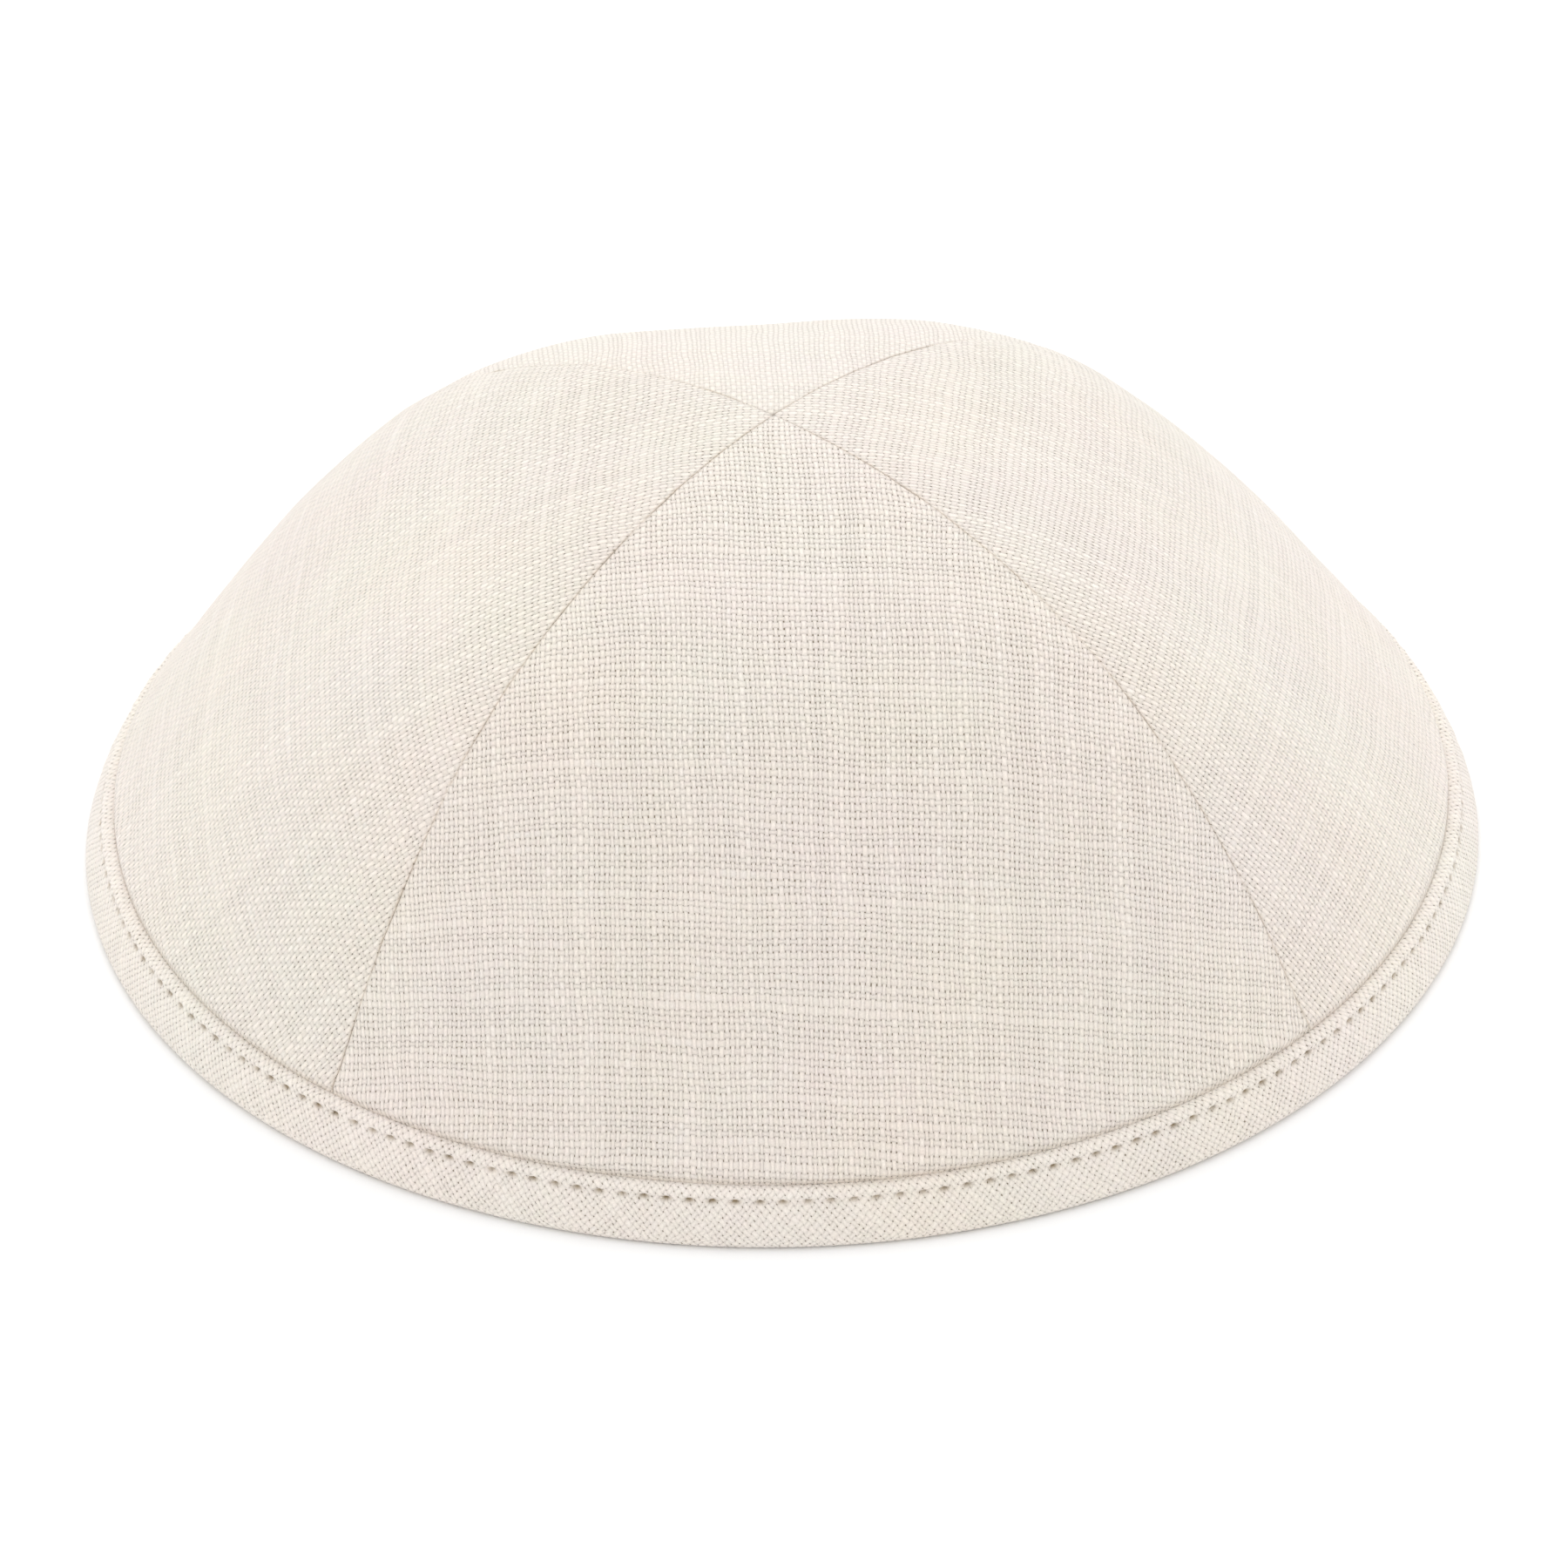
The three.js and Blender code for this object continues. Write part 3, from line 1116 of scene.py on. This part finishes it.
    def build_tape(self) -> bpy.types.Object:
        """Shapes the tape from its spun section and fits it to the crown.

        Returns:
            The tape.
        """
        section = self.section()
        bm, number_layer = self.spin_section(section)
        self.lay_cloth(bm, number_layer, section)
        shade_layer = bm.verts.layers.float.new(SHADE_NAME)
        rim = self.crown.rim_radius * FULL_TURN
        for vert in bm.verts:
            azimuth = math.atan2(vert.co.y, vert.co.x)
            point = section[vert[number_layer]]
            move, lift, shade = self.swell(azimuth, point.height)
            fade = smooth_step(point.height, self.fold_lift, 2.0 * MM)
            out = point.out + point.give * move * fade
            height = point.height + max(0.0, point.give) * lift
            vert.co = self.crown.point(azimuth, self.crown.down_at(height, -out), -out)
            # Painted shade in the needle holes and along a thin line at the tape's join.
            turn = self.turn_from_join(azimuth)
            join = bell(min(turn, 1 - turn) * rim, self.join_width)
            vert[shade_layer] = max(shade * abs(point.give), 0.3 * join)
        return finish_mesh("rim_binding_tape", bm, TAPE_FINISH.material())

    def build_stitches(self) -> bpy.types.Object:
        """Lays a short thread between each two needle holes, outside and in.

        Returns:
            All the stitches, as one piece.
        """
        bm = bmesh.new()
        bmesh.ops.create_uvsphere(bm, u_segments=8, v_segments=6, radius=1.0)
        bead = bpy.data.meshes.new("one_stitch")
        bm.to_mesh(bead)
        bm.clear()
        pitch = FULL_TURN / self.stitches
        sides = (self.face - self.thread_sunk, self.inner_back + 0.06 * MM)
        for number in range(self.stitches):
            azimuth = (number + 0.5) * pitch
            jitter = noise.noise(Vector((number * 1.7, 2.0, 0.0)))
            for out in sides:
                height = self.stitch_height + 0.05 * MM * jitter
                down = self.crown.down_at(height, -out)
                place = self.crown.point(azimuth, down, -out)
                along = self.crown.point(azimuth + pitch / 2, down, -out)
                along -= self.crown.point(azimuth - pitch / 2, down, -out)
                above = self.crown.point(azimuth, down - 0.01, -out) - place
                length = along.length * self.thread_share
                along.normalize()
                above.normalize()
                outward = along.cross(above).normalized()
                turn = Matrix((along, outward, above)).transposed()
                thick = self.thread_radius
                stretch = Matrix.Diagonal((length, thick * 0.8, thick))
                fit = Matrix.Translation(place) @ (turn @ stretch).to_4x4()
                stitch = bead.copy()
                stitch.transform(fit)
                bm.from_mesh(stitch)
                bpy.data.meshes.remove(stitch)
        bpy.data.meshes.remove(bead)
        bmesh.ops.recalc_face_normals(bm, faces=bm.faces[:])
        return finish_mesh("rim_stitches", bm, SewingThread(name="sewing_thread").material())

    def dress(self) -> list[bpy.types.Object]:
        """Builds the tape and its stitches and ties them to the frame.

        Returns:
            The pieces.
        """
        tape = self.build_tape()
        stitches = self.build_stitches()
        for piece in (tape, stitches):
            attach(piece, "root")
        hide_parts("rim_binding")
        return [tape, stitches]


@dataclass(frozen=True)
class Lamp:
    """A square soft lamp that faces the origin."""

    name: str
    place: tuple[float, float, float]
    watts: float
    size: float


@dataclass
class Studio:
    """The pale floor, the soft light and the camera."""

    floor_half: float = 20.0
    floor_tone: float = 0.95
    sky: float = 0.93
    lamps: tuple[Lamp, ...] = (
        Lamp("top", (0.05, 0.55, 0.75), watts=3.4, size=0.9),
        Lamp("left", (-1.7, -0.4, 0.6), watts=4.6, size=1.4),
        Lamp("right", (1.7, -0.4, 0.6), watts=4.0, size=1.4),
    )
    azimuth_deg: float = -4.155
    elevation_deg: float = 34.425
    roll_deg: float = -1.16
    distance: float = 1.205
    aim: Vector = field(default_factory=lambda: Vector((0.38, -14.9, 25.0)) * MM)
    lens_mm: float = 229.9

    def build_floor(self) -> None:
        """Lays a large plain floor under the cap."""
        bm = bmesh.new()
        bmesh.ops.create_grid(bm, x_segments=1, y_segments=1, size=self.floor_half)
        tone = (self.floor_tone, self.floor_tone, self.floor_tone, 1)
        inputs = {"Base Color": tone, "Roughness": 1.0, "Specular IOR Level": 0.0}
        floor = finish_mesh("floor", bm, NodeSheet("plain_floor").finish(inputs))

    def build_light(self) -> None:
        """Sets a white sky and the lamps, above and at the sides."""
        world = bpy.data.worlds.new("studio")
        world.use_nodes = True
        background = world.node_tree.nodes["Background"]
        background.inputs["Color"].default_value = (1, 1, 1, 1)
        background.inputs["Strength"].default_value = self.sky
        bpy.context.scene.world = world
        for lamp in self.lamps:
            light = bpy.data.lights.new(lamp.name, "AREA")
            light.energy = lamp.watts
            light.size = lamp.size
            holder = bpy.data.objects.new(lamp.name, light)
            holder.location = lamp.place
            holder.rotation_euler = Vector(lamp.place).to_track_quat("Z", "Y").to_euler()
            bpy.context.scene.collection.objects.link(holder)

    def build_camera(self) -> None:
        """Sets the camera at the photograph's viewing angle."""
        around = Matrix.Rotation(math.radians(self.azimuth_deg), 4, "Z")
        turn = around @ Matrix.Rotation(math.radians(90 - self.elevation_deg), 4, "X")
        place = Vector((0, 0, self.aim.z)) + turn @ Vector((self.aim.x, self.aim.y, self.distance))
        roll = Matrix.Rotation(math.radians(self.roll_deg), 4, "Z")
        camera = bpy.data.cameras.new("camera")
        camera.lens = self.lens_mm
        holder = bpy.data.objects.new("camera", camera)
        holder.matrix_world = Matrix.Translation(place) @ turn @ roll
        bpy.context.scene.collection.objects.link(holder)
        bpy.context.scene.camera = holder

    def build(self) -> None:
        """Builds the floor, the lights and the camera."""
        self.build_floor()
        self.build_light()
        self.build_camera()
        bpy.context.scene.view_settings.view_transform = "Standard"


@dataclass
class Kippah:
    """The whole cap: a crown of four panels and the bound rim."""

    crown: Crown
    binding: Binding

    def panels(self) -> list[Panel]:
        """The four panels, in order round the cap from the front."""
        names = ("panel_front", "panel_right", "panel_back", "panel_left")
        return [
            Panel(
                name=name,
                crown=self.crown,
                azimuth=self.crown.front + index * QUARTER_TURN,
                low_seam=SEAMS[index],
                high_seam=SEAMS[(index + 1) % len(SEAMS)],
                finish=PANEL_FINISHES[index],
                tape_top=self.binding.height,
                seed=1.0 + index,
            )
            for index, name in enumerate(names)
        ]

    def dress(self) -> list[bpy.types.Object]:
        """Builds every piece of the cap."""
        return self.binding.dress() + [panel.dress() for panel in self.panels()]


def main() -> None:
    """Builds the cap over the frame and reports its pieces."""
    logging.basicConfig(level=logging.INFO, format="%(message)s")
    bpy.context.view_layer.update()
    binding_low, binding_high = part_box("rim_binding")
    panel_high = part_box("panel_front")[1]
    rim = (binding_high.x - binding_low.x) / 2 - Binding.face
    crown = Crown(rim_radius=rim, height=panel_high.z)
    Studio().build()
    kippah = Kippah(crown=crown, binding=Binding(crown=crown))
    for piece in kippah.dress():
        LOG.info("%s: %d faces", piece.name, len(piece.data.polygons))


if __name__ == "__main__":
    main()
